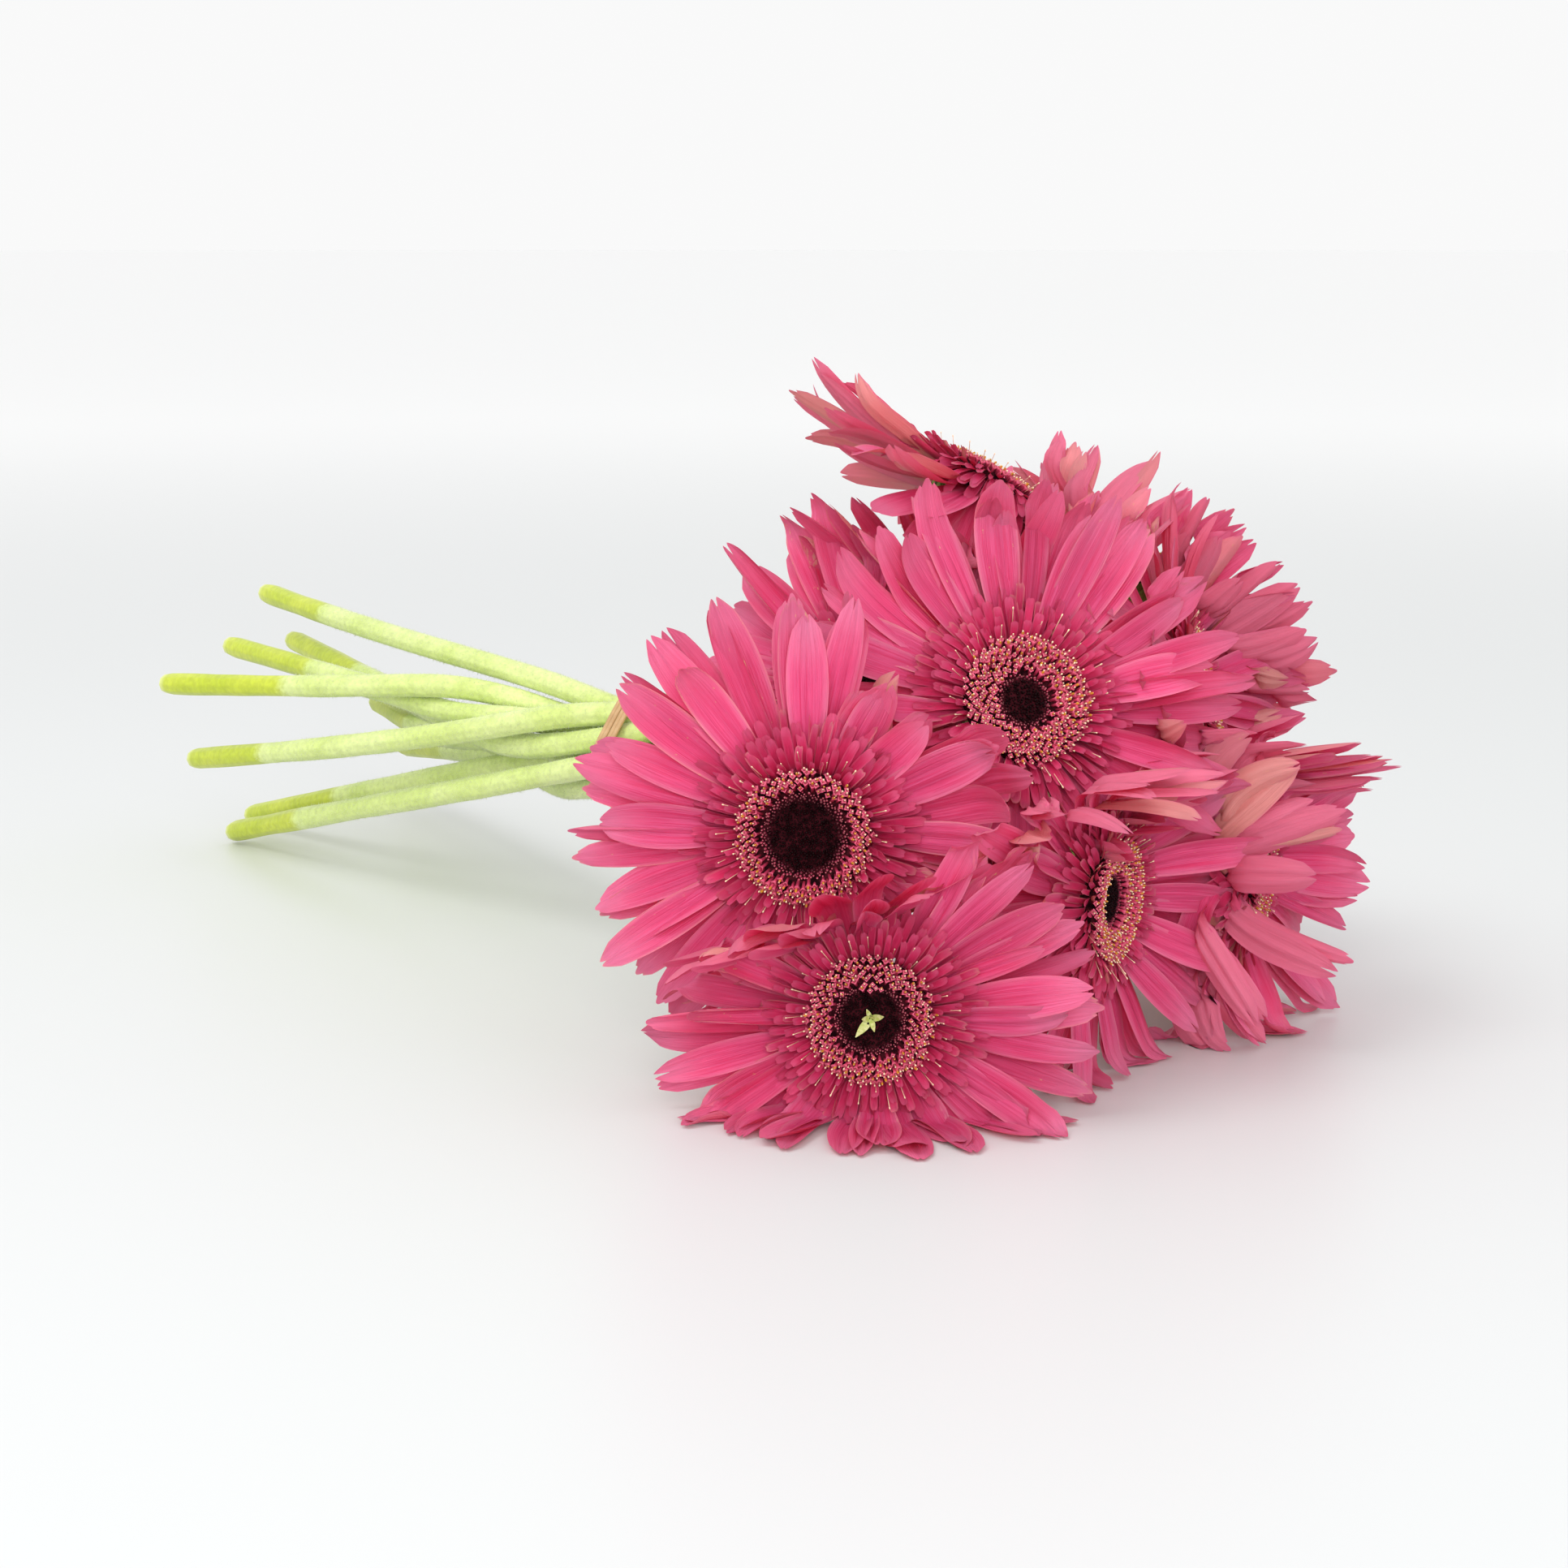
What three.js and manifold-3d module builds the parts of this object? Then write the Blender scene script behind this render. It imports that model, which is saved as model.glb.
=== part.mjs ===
// A bunch of ten cut gerberas that lies on a table, held by one rubber band.
// Millimetres, +Z up. The stems run along X: the cut ends at -X, the flower heads at +X.
// Each flower is a stem, a green calyx, a ring of long ray florets, a ring of short inner
// florets and a disc. Where two heads press on each other, a flat face parts them.
import * as THREE from "three";
import { mergeVertices } from "three/addons/utils/BufferGeometryUtils.js";
import Module from "manifold-3d";

const wasm = await Module();
wasm.setup();

// ---- Driving dimensions, in millimetres ----
const TIE_HEIGHT = 55; // the band's centre above the table
const STEM_DIAMETER = 7;
const NECK_LENGTH = 12; // the stem runs straight for this length behind the calyx
const CALYX_RADIUS = 12.5;
const CALYX_DEPTH = 13; // from the stem's end to the florets' seat
const SEAT_DEPTH = 5.5; // the florets' seat, below the middle of the disc's face
const RAY_REACH = 60; // from the disc's centre to a long floret's tip
const RAY_THICKNESS = 3.2;
const RAY_COUNT = 16; // lobes round the ring
const RAY_NOTCH = 0.13; // how far the gap between two tips cuts in, as a share of the reach
const INNER_REACH = 27; // from the disc's centre to a short floret's tip
const INNER_THICKNESS = 3;
const DISC_RADIUS = 15;
const DISC_CROWN = 1.8; // the disc's rim stands this far above its dark middle
const SPIRAL_SPREAD = 9; // from the band's centre to where a stem first aims
const BAND_WIDTH = 7;
const BAND_THICKNESS = 1.4;

// ---- Clearances ----
const PIECE_GAP = 0.4; // between any two pieces that lie against each other
const STEM_GAP = 0.5; // between two stems, or a stem and a head

// ---- Meshing ----
const ROUND_SIDES = 14;
const STEM_SIDES = 8;
const STEM_STEPS = 30;
const PATH_POINTS = 61;

// Each flower: [yaw, pitch] in degrees and reach in mm from the band to its head; where its face
// looks; its size; how far its long florets cup forward, in degrees; and where its stem's cut end
// lies from the band: [yaw, drop] in degrees and length in mm. Yaw turns from +X towards +Y.
const FLOWERS = [
  { head: [-24, 2, 150], face: [-50, 0], size: 1.0, cup: 4, tail: [-14, 2, 226] },
  { head: [-22, -10, 181], face: [-45, 4], size: 0.92, cup: 8, tail: [-20, 8, 240] },
  { head: [0, -4, 176], face: [21, -2], size: 0.92, cup: 24, tail: [-6, 12.5, 238] },
  { head: [-2, 12, 156], face: [-24, 24], size: 1.0, cup: 12, tail: [-1, 13.8, 216] },
  { head: [-7, 16.5, 110], face: [-70, 30], size: 1.0, cup: 6, tail: [-17, 4, 228] },
  { head: [18, 36, 132], face: [75, 56], size: 0.95, cup: 6, tail: [-9, -2, 222] },
  { head: [42, 19, 150], face: [72, 50], size: 0.96, cup: 24, tail: [3, 7, 210] },
  { head: [24, 10, 162], face: [40, 14], size: 0.94, cup: 26, tail: [-3, -2, 221] },
  { head: [20, -4.5, 180], face: [32, -4], size: 0.96, cup: 26, tail: [6, 0, 207] },
  { head: [46, -4, 150], face: [80, 0], size: 0.94, cup: 14, tail: [-7, -6, 226] },
];

// Pairs of heads in which the first one's long florets lie over the second one's, and how
// steeply their parting face leans, as a share of 45 degrees.
const LAYERS = [
  [0, 4, 0.35],
  [0, 1, 0.25],
  [0, 3, 0.2],
  [2, 1, 0.3],
  [3, 2, 0.3],
  [2, 8, 0.3],
  [3, 4, 0.3],
  [7, 8, 0.2],
  [5, 6, 0.2],
];

const STEM_GREEN = new THREE.MeshStandardMaterial({ color: 0xb7cf6e, roughness: 0.6, metalness: 0 });
const CALYX_GREEN = new THREE.MeshStandardMaterial({ color: 0x7f9a4a, roughness: 0.7, metalness: 0 });
const PINK = new THREE.MeshStandardMaterial({ color: 0xe0527f, roughness: 0.55, metalness: 0 });
const CRIMSON = new THREE.MeshStandardMaterial({ color: 0xc42a5c, roughness: 0.55, metalness: 0 });
const MAROON = new THREE.MeshStandardMaterial({ color: 0x2a0a12, roughness: 0.9, metalness: 0 });
const RUBBER = new THREE.MeshStandardMaterial({ color: 0xc9a679, roughness: 0.7, metalness: 0 });

// The unit vector at this yaw and pitch, in degrees.
function direction(yaw, pitch) {
  const y = THREE.MathUtils.degToRad(yaw);
  const p = THREE.MathUtils.degToRad(pitch);
  return new THREE.Vector3(Math.cos(p) * Math.cos(y), Math.cos(p) * Math.sin(y), Math.sin(p));
}

// ---- Solids: three.js geometry to manifold-3d and back ----
function toSolid(geometry) {
  const bare = new THREE.BufferGeometry().setAttribute("position", geometry.getAttribute("position"));
  bare.setIndex(geometry.index);
  const merged = mergeVertices(bare, 1e-3);
  const vertProperties = new Float32Array(merged.getAttribute("position").array);
  const triVerts = new Uint32Array(merged.index.array);
  return new wasm.Manifold(new wasm.Mesh({ numProp: 3, vertProperties, triVerts }));
}

function toGeometry(solid) {
  const mesh = solid.getMesh();
  const geometry = new THREE.BufferGeometry();
  geometry.setAttribute("position", new THREE.BufferAttribute(new Float32Array(mesh.vertProperties), 3));
  geometry.setIndex(new THREE.BufferAttribute(new Uint32Array(mesh.triVerts), 1));
  geometry.computeVertexNormals();
  return geometry;
}

function largestBody(solid) {
  return solid.decompose().sort((a, b) => b.volume() - a.volume())[0];
}

// ---- Heads: places and the flat faces that part them ----
const stemRadius = STEM_DIAMETER / 2;
const calyxBottom = SEAT_DEPTH + CALYX_DEPTH; // below the disc's centre, along the face

const heads = FLOWERS.map((flower) => {
  const [yaw, pitch, reach] = flower.head;
  const centre = direction(yaw, pitch).multiplyScalar(reach);
  const normal = direction(...flower.face);
  const turn = new THREE.Quaternion().setFromUnitVectors(new THREE.Vector3(0, 1, 0), normal);
  const matrix = new THREE.Matrix4().compose(centre, turn, new THREE.Vector3(1, 1, 1));
  return { centre, normal, turn, matrix, size: flower.size, cup: flower.cup };
});

// How far head a's florets lie over head b's: positive over, negative under.
function layering(a, b) {
  for (const [over, under, lean] of LAYERS) {
    if (over === a && under === b) return lean;
    if (over === b && under === a) return -lean;
  }
  return 0;
}

// The parting planes of head a, as {normal, offset}: its florets stay where normal . p < offset.
function cellOf(a) {
  const cell = [{ normal: new THREE.Vector3(0, 0, -1), offset: TIE_HEIGHT }];
  const me = heads[a];
  heads.forEach((other, b) => {
    if (a === b) return;
    const apart = other.centre.clone().sub(me.centre);
    const shared = me.normal.clone().add(other.normal).normalize();
    const normal = apart.clone().normalize().addScaledVector(shared, -layering(a, b)).normalize();
    const share = me.size / (me.size + other.size);
    const middle = me.centre.clone().addScaledVector(apart, share);
    cell.push({ normal, offset: normal.dot(middle) - PIECE_GAP / 2 });
  });
  return cell;
}

// A solid in head a's own frame, cut by head a's parting planes.
function trimmed(solid, a) {
  const inverse = heads[a].matrix.clone().invert();
  let cut = solid;
  for (const { normal, offset } of cellOf(a)) {
    const plane = new THREE.Plane(normal.clone(), -offset).applyMatrix4(inverse);
    cut = cut.trimByPlane([-plane.normal.x, -plane.normal.y, -plane.normal.z], plane.constant);
  }
  return cut;
}

// ---- Stems: smooth paths that lie beside each other and never cross ----
function firstPath(flower, head) {
  const [yaw, drop, length] = flower.tail;
  const cutEnd = direction(yaw, drop).multiplyScalar(-length);
  cutEnd.z = Math.max(cutEnd.z, stemRadius - TIE_HEIGHT);
  const neck = [NECK_LENGTH, NECK_LENGTH / 2, 0].map((behind) => {
    const back = calyxBottom * head.size + PIECE_GAP + behind;
    return head.centre.clone().addScaledVector(head.normal, -back);
  });
  // Stems spiral through the band: each passes it a quarter turn from where its head lies.
  const side = Math.atan2(head.centre.z, head.centre.y) + Math.PI / 2;
  const slot = new THREE.Vector3(0, Math.cos(side), Math.sin(side)).multiplyScalar(SPIRAL_SPREAD);
  const curve = new THREE.CatmullRomCurve3([cutEnd, slot, neck[0]], false, "centripetal");
  return [...curve.getSpacedPoints(PATH_POINTS - 3), neck[1], neck[2]];
}

// Pushes the points of two paths apart where they are nearer than a stem's diameter and the gap.
function partPaths(one, two, least) {
  const apart = new THREE.Vector3();
  for (const p of one.points) {
    for (const q of two.points) {
      apart.subVectors(p, q);
      const distance = apart.length();
      if (distance >= least || distance === 0) continue;
      const push = (least - distance) / (2 * distance);
      p.addScaledVector(apart, push);
      q.addScaledVector(apart, -push);
    }
  }
}

// Heads keep the other flowers' stems away from their calyx and disc.
function clearHeads(path, own) {
  const out = new THREE.Vector3();
  heads.forEach((head, b) => {
    if (b === own) return;
    const middle = head.centre.clone().addScaledVector(head.normal, (-calyxBottom * head.size) / 2);
    const hub = Math.max(CALYX_RADIUS, DISC_RADIUS, calyxBottom / 2) * head.size;
    const least = hub + STEM_DIAMETER;
    for (const p of path.points) {
      out.subVectors(p, middle);
      if (out.length() < least) p.copy(middle).addScaledVector(out.normalize(), least);
    }
  });
}

// Straightens a path and evens out its bends, as a springy stem does, with its neck held.
function springBack(p, share) {
  const STRAIGHTEN = 0.2;
  for (let k = 1; k < p.length - 3; k++) {
    const chord = p[k - 1].clone().add(p[k + 1]);
    if (k > 1) {
      const bend = chord.clone().multiplyScalar(4).addScaledVector(p[k], -6);
      p[k].addScaledVector(bend.sub(p[k - 2]).sub(p[k + 2]), share / 8);
    }
    p[k].lerp(chord.multiplyScalar(0.5), STRAIGHTEN * share);
  }
}

function settleStems() {
  const ROUNDS = 400;
  const PUSHES = 4; // in each round
  const PULL = 0.03; // towards the band's centre
  const least = STEM_DIAMETER + 2 * STEM_GAP;
  const paths = FLOWERS.map((flower, i) => ({ points: firstPath(flower, heads[i]) }));
  const necks = paths.map(({ points }) => points.slice(-3).map((p) => p.clone()));
  for (let round = 0; round < ROUNDS; round++) {
    const share = 1 - (0.8 * round) / ROUNDS;
    paths.forEach((path, i) => {
      for (let pass = 0; pass < 3; pass++) springBack(path.points, share);
      for (const p of path.points.slice(1, -3)) {
        const grip = 1 - PULL * share * Math.exp(-((p.x / (2 * BAND_WIDTH)) ** 2));
        p.y *= grip;
        p.z *= grip;
      }
      clearHeads(path, i);
    });
    for (let push = 0; push < PUSHES; push++) {
      for (let i = 0; i < paths.length; i++) {
        for (let j = i + 1; j < paths.length; j++) partPaths(paths[i], paths[j], least);
      }
      paths.forEach(({ points }, i) => {
        for (const p of points) p.z = Math.max(p.z, stemRadius - TIE_HEIGHT);
        necks[i].forEach((p, k) => points[points.length - 3 + k].copy(p));
      });
    }
  }
  return paths.map(({ points }) => points);
}

const stemPaths = settleStems();

function tube(points, radius, steps, sides) {
  const section = new THREE.Shape();
  for (let k = 0; k < sides; k++) {
    const angle = (k * 2 * Math.PI) / sides;
    const x = radius * Math.cos(angle);
    const y = radius * Math.sin(angle);
    if (k === 0) section.moveTo(x, y);
    else section.lineTo(x, y);
  }
  const extrudePath = new THREE.CatmullRomCurve3(points, false, "centripetal");
  return new THREE.ExtrudeGeometry(section, { steps, extrudePath, bevelEnabled: false });
}

// ---- The parts of one head, each about the +Y axis with the disc's centre at the origin ----
function lathe(outline, sides) {
  return new THREE.LatheGeometry(outline.map(([r, y]) => new THREE.Vector2(r, y)), sides);
}

function calyxGeometry(size) {
  const r = CALYX_RADIUS * size;
  const top = -SEAT_DEPTH * size - PIECE_GAP;
  const bottom = -calyxBottom * size;
  const deep = top - bottom;
  return lathe([
    [0, bottom],
    [stemRadius, bottom],
    [0.72 * r, bottom + 0.3 * deep],
    [0.98 * r, bottom + 0.7 * deep],
    [r, top],
    [0, top],
  ], ROUND_SIDES);
}

// The florets cup forward from just outside the disc.
function cupRoot(size) {
  return (DISC_RADIUS + PIECE_GAP) * size;
}

function cupRise(r, size, cup) {
  return (r - cupRoot(size)) * Math.tan(THREE.MathUtils.degToRad(cup));
}

// The ring of long florets: a cupped plate with a scalloped rim.
function rayGeometry(size, cup) {
  const seat = -SEAT_DEPTH * size;
  const root = cupRoot(size);
  const reach = RAY_REACH * size;
  const half = (root + reach) / 2;
  const rise = (r) => cupRise(r, size, cup);
  const geometry = lathe([
    [0, seat],
    [root, seat],
    [half, seat + rise(half)],
    [reach, seat + rise(reach)],
    [reach, seat + rise(reach) + 0.5 * RAY_THICKNESS],
    [half, seat + rise(half) + RAY_THICKNESS],
    [root, seat + RAY_THICKNESS],
    [0, seat + RAY_THICKNESS],
  ], 2 * RAY_COUNT);
  const at = geometry.getAttribute("position");
  const across = Math.PI / RAY_COUNT;
  for (let i = 0; i < at.count; i++) {
    const r = Math.hypot(at.getX(i), at.getZ(i));
    if (r < half + 1) continue;
    const step = Math.round(Math.atan2(at.getZ(i), at.getX(i)) / across);
    const kept = step % 2 === 0 ? 1 : 1 - RAY_NOTCH;
    at.setX(i, at.getX(i) * kept);
    at.setZ(i, at.getZ(i) * kept);
  }
  return geometry;
}

// The ring of short florets, which sits on the long ones and slopes as they do.
function innerGeometry(size, cup) {
  const inside = cupRoot(size);
  const reach = INNER_REACH * size;
  const half = (inside + reach) / 2;
  const rise = (r) => cupRise(r, size, cup);
  const seat = -SEAT_DEPTH * size + RAY_THICKNESS + PIECE_GAP;
  return lathe([
    [inside, seat],
    [reach, seat + rise(reach)],
    [reach, seat + rise(reach) + 0.6 * INNER_THICKNESS],
    [half, seat + rise(half) + INNER_THICKNESS],
    [inside, seat + INNER_THICKNESS],
    [inside, seat],
  ], ROUND_SIDES);
}

function discGeometry(size) {
  const r = (DISC_RADIUS - PIECE_GAP / 2) * size;
  const bottom = -SEAT_DEPTH * size + RAY_THICKNESS + PIECE_GAP;
  return lathe([
    [0, bottom],
    [r, bottom],
    [r, DISC_CROWN * 0.5],
    [0.85 * r, DISC_CROWN],
    [0.66 * r, 0],
    [0, 0],
  ], ROUND_SIDES);
}

// ---- The bunch ----
const bunch = new THREE.Group();

function addMesh(parent, name, geometry, material) {
  const mesh = new THREE.Mesh(geometry, material);
  mesh.name = name;
  parent.add(mesh);
}

// A thicker copy of each stem cuts the florets that it passes through.
const stemCutters = stemPaths.map((points) =>
  toSolid(tube(points, stemRadius + STEM_GAP, STEM_STEPS, STEM_SIDES)),
);

FLOWERS.forEach((flower, i) => {
  const number = String(i + 1).padStart(2, "0");
  const head = heads[i];
  addMesh(bunch, "stem_" + number, tube(stemPaths[i], stemRadius, STEM_STEPS, STEM_SIDES), STEM_GREEN);

  const group = new THREE.Group();
  group.position.copy(head.centre);
  group.quaternion.copy(head.turn);
  const toHead = head.matrix.clone().invert().elements;
  const passing = stemCutters.filter((_, k) => k !== i).map((cutter) => cutter.transform([...toHead]));
  const shaped = (geometry) => {
    let solid = trimmed(toSolid(geometry), i);
    for (const cutter of passing) solid = solid.subtract(cutter);
    return toGeometry(largestBody(solid));
  };
  addMesh(group, "calyx_" + number, shaped(calyxGeometry(head.size)), CALYX_GREEN);
  addMesh(group, "ray_florets_" + number, shaped(rayGeometry(head.size, head.cup)), PINK);
  addMesh(group, "inner_florets_" + number, shaped(innerGeometry(head.size, head.cup)), CRIMSON);
  addMesh(group, "disc_" + number, shaped(discGeometry(head.size)), MAROON);
  bunch.add(group);
});

// ---- The band: it runs round the stems where they meet ----
// The points on the stems' centre lines that lie under the band.
function gripPoints() {
  const SPLITS = 10; // of each straight step of a stem
  const found = [];
  for (const points of stemPaths) {
    const line = new THREE.CatmullRomCurve3(points, false, "centripetal").getSpacedPoints(STEM_STEPS);
    for (let k = 0; k < SPLITS * STEM_STEPS; k++) {
      const step = Math.floor(k / SPLITS);
      const p = line[step].clone().lerp(line[step + 1], (k % SPLITS) / SPLITS);
      if (Math.abs(p.x) < BAND_WIDTH / 2 + stemRadius) found.push(p);
    }
  }
  return found;
}

const gripped = gripPoints();

// How far the band's inside lies from the middle of the bundle, towards this angle.
function bundleReach(angle) {
  const y = Math.cos(angle);
  const z = Math.sin(angle);
  return Math.max(...gripped.map((p) => p.y * y + p.z * z)) + stemRadius + STEM_GAP;
}

// The outline that touches the bundle all round, moved out by this much.
function bandOutline(out) {
  const SIDES = 20;
  const points = [];
  for (let k = 0; k < SIDES; k++) {
    const a = (k * 2 * Math.PI) / SIDES;
    const b = ((k + 1) * 2 * Math.PI) / SIDES;
    const ra = bundleReach(a) + out;
    const rb = bundleReach(b) + out;
    const between = Math.sin(b - a);
    const y = (ra * Math.sin(b) - rb * Math.sin(a)) / between;
    const z = (rb * Math.cos(a) - ra * Math.cos(b)) / between;
    points.push(new THREE.Vector2(y, z));
  }
  return points;
}

const bandShape = new THREE.Shape(bandOutline(BAND_THICKNESS));
bandShape.holes.push(new THREE.Path(bandOutline(0)));
const bandGeometry = new THREE.ExtrudeGeometry(bandShape, { depth: BAND_WIDTH, bevelEnabled: false });
// The shape's own x, y and depth become the bunch's y, z and x.
const onto = new THREE.Matrix4().set(0, 0, 1, 0, 1, 0, 0, 0, 0, 1, 0, 0, 0, 0, 0, 1);
bandGeometry.applyMatrix4(onto).translate(-BAND_WIDTH / 2, 0, 0);
addMesh(bunch, "rubber_band", bandGeometry, RUBBER);

// ---- The frame: the origin is the middle of the bunch's box, on the table ----
const gerberas = new THREE.Group();
gerberas.add(bunch);
gerberas.updateMatrixWorld(true);
const box = new THREE.Box3().setFromObject(bunch, true);
const middle = box.getCenter(new THREE.Vector3());
bunch.position.set(-middle.x, -middle.y, -box.min.z);

export default gerberas;
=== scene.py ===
# %% [markdown]
# # A bunch of gerberas
# Ten cut gerberas lie on a pale table, held by one rubber band behind the heads. A gerbera head
# is a whole crowd of florets: a few dozen long ones that we take for petals, tiers of short
# narrow ones, and hundreds of tiny ones round a nearly black eye. This lesson builds each kind,
# and lays the long petals so that neighbouring heads press on each other and fold.
#
# The solid model sets every place. We load it first.

# %% Load the fixed frame
import math

import bmesh
import bpy
import numpy as np
from mathutils import Matrix, Vector, geometry


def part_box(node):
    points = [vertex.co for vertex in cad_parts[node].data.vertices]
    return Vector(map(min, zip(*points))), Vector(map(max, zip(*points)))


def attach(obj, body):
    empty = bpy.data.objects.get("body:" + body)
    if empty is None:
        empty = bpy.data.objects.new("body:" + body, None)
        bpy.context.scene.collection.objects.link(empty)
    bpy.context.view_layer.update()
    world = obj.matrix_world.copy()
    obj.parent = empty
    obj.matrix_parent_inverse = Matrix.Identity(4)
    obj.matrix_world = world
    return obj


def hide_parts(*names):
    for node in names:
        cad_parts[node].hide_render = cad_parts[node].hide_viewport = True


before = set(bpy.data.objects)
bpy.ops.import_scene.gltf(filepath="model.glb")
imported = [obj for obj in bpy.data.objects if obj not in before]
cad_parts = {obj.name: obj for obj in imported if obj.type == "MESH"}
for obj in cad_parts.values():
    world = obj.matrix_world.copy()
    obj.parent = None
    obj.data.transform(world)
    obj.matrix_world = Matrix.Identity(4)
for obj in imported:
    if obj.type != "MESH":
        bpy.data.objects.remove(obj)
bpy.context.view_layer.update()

MM = 0.001

# %% [markdown]
# ## What the solid model tells us
# Each flower has a size, a cup angle and a number. The sizes below are the same ones that shaped
# the solids, so what we build lands where the solids are. The heads' places aren't in the table:
# each stem solid ends just behind its head and points straight at it, so the stem tells us.

# %% The flowers' own values
CALYX_DEPTH = 13 * MM
SEAT_DEPTH = 5.5 * MM
PIECE_GAP = 0.4 * MM
STEM_SIDES = 8

NUMBERS = [f"{i:02d}" for i in range(1, 11)]
SIZES = [1.0, 0.92, 0.92, 1.0, 1.0, 0.95, 0.96, 0.94, 0.96, 0.94]
CUPS = [4, 8, 24, 12, 6, 6, 24, 26, 26, 14]  # degrees
# How far the dark eye reaches, in mm at size 1. It shrinks as a flower ages.
EYES = [10.2, 9.0, 7.0, 6.6, 7.5, 9.0, 8.5, 8.0, 9.0, 9.5]

# Pairs of heads, the upper one first, and how far the face between them leans.
LAYERS = [
    (0, 4, 0.35), (0, 1, 0.25), (0, 3, 0.2), (2, 1, 0.3), (3, 2, 0.3),
    (2, 8, 0.3), (3, 4, 0.3), (7, 8, 0.2), (5, 6, 0.2),
]
# How far one head's petals slip past the face towards another head, behind or over its own.
GIVE = {
    (1, 2): 20 * MM, (0, 2): 18 * MM, (3, 2): 8 * MM, (3, 1): 15 * MM, (4, 0): 8 * MM,
    (2, 1): 10 * MM, (2, 0): 8 * MM, (3, 0): 5 * MM, (2, 8): 12 * MM, (8, 2): -8 * MM,
    (6, 3): 20 * MM, (7, 3): 14 * MM, (5, 3): 8 * MM, (5, 4): 8 * MM,
}
# Where single petals curl over the face, pale side out, in degrees round from the level direction.
FOLDS = {0: (118,), 1: (150, 172, 198), 2: (135, 170), 3: (150, 186, 222, 262), 4: (120, 165), 5: (100,)}
# Petals that are tucked behind a neighbour, from and to these degrees, so only their feet show.
TUCKED = {0: (40, 74)}
# Where a neighbour's stem passes between a head's petals and pushes them apart, in degrees.
PARTED = {4: 245}
# How far the petals on the camera's side of a head hang back over its calyx, in degrees.
DROOP = {5: 48}


# %% Read each stem's centre line back from its solid
def unit(v):
    return v / np.linalg.norm(v, axis=-1, keepdims=True)


def centre_line(node):
    """The middle of each ring of a stem solid, from its cut end to its neck, and its end's axis."""
    corners = np.array([v.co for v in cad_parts[node].data.vertices])
    left = np.unique(np.round(corners, 6), axis=0)
    at = left[left[:, 0].argmin()]
    rings = []
    while len(left) >= STEM_SIDES:
        nearest = np.linalg.norm(left - at, axis=1).argsort()
        ring = left[nearest[:STEM_SIDES]]
        left = left[nearest[STEM_SIDES:]]
        at = ring.mean(0)
        rings.append(ring)
    line = np.array([ring.mean(0) for ring in rings])
    axis = np.linalg.svd(rings[-1] - line[-1])[2][2]
    if axis @ (line[-1] - line[-2]) < 0:
        axis = -axis
    return line, axis


def square_to(face):
    """Two unit vectors square to the face's axis and to each other, the first one level."""
    level = unit(np.cross([0.0, 0.0, 1.0], face))
    return level, np.cross(face, level)


stem_lines = []
heads = []
for number, size, cup in zip(NUMBERS, SIZES, CUPS):
    line, axis = centre_line("stem_" + number)
    back = (CALYX_DEPTH + SEAT_DEPTH) * size + PIECE_GAP
    stem_lines.append(line)
    heads.append({"centre": line[-1] + back * axis, "face": axis, "size": size, "cup": math.radians(cup)})
for number, head in zip(NUMBERS, heads):
    print("head", number, "at", np.round(head["centre"] / MM), "mm, faces", np.round(head["face"], 2))


# %% The flat faces that part the heads
def parting_faces(a):
    """(normals, offsets): head a's petals stay where normal . p < offset. The table is first."""
    normals = [np.array([0.0, 0.0, -1.0])]
    offsets = [0.0]
    me = heads[a]
    for b, other in enumerate(heads):
        if b == a:
            continue
        lean = sum(v for over, under, v in LAYERS if (over, under) == (a, b))
        lean -= sum(v for over, under, v in LAYERS if (over, under) == (b, a))
        apart = other["centre"] - me["centre"]
        shared = unit(me["face"] + other["face"])
        normal = unit(unit(apart) - lean * shared)
        middle = me["centre"] + apart * me["size"] / (me["size"] + other["size"])
        normals.append(normal)
        offsets.append(normal @ middle + GIVE.get((a, b), 0.0))
    return np.array(normals), np.array(offsets)


for i, head in enumerate(heads):
    head["droop"] = math.radians(DROOP.get(i, 0))
    head["walls"] = parting_faces(i)
print("each head is parted from", len(heads) - 1, "others and from the table")

# %% [markdown]
# ## The camera
# The camera stands low beside the bunch and looks ten degrees down at the open faces.

# %% The camera
tie = np.array([sum(c) / 2 for c in zip(*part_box("rubber_band"))])
CAMERA_FROM_TIE = np.array([657.8, -539.8, 142.0]) * MM
CAMERA_LENS = 72.2
CAMERA_YAW = 48.0
CAMERA_PITCH = 10.0

camera = bpy.data.objects.new("camera", bpy.data.cameras.new("camera"))
bpy.context.scene.collection.objects.link(camera)
camera.data.lens = CAMERA_LENS
camera.data.sensor_width = 36
camera.data.clip_end = 60
camera.location = Vector(tie + CAMERA_FROM_TIE)
camera.rotation_euler = (math.radians(90 - CAMERA_PITCH), 0, math.radians(CAMERA_YAW))
bpy.context.scene.camera = camera
print("camera at", [round(x / MM) for x in camera.location], "mm")


# %% [markdown]
# ## A petal that gives way
# A long petal is a strap about 45 mm long: narrow at its foot, widest past its middle, with
# broad grooves along it and a cleft at its tip. We grow each petal outwards in short steps. It
# follows its own natural curl until it comes near a parting face or the table. There it bends,
# never tighter than a real petal can, until it slides along. Some go a little past the face
# first, so that the petals of two heads interleave. Since every petal bends in its own way,
# instances of one petal can't do this. Rows of numbers can: all of a head's petals grow at once.


# %% Grow many petals outwards
def turned(v, axis, angle):
    """v turned about a unit axis square to it."""
    c = np.cos(angle)[:, None]
    s = np.sin(angle)[:, None]
    return v * c + np.cross(axis, v) * s


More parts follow.
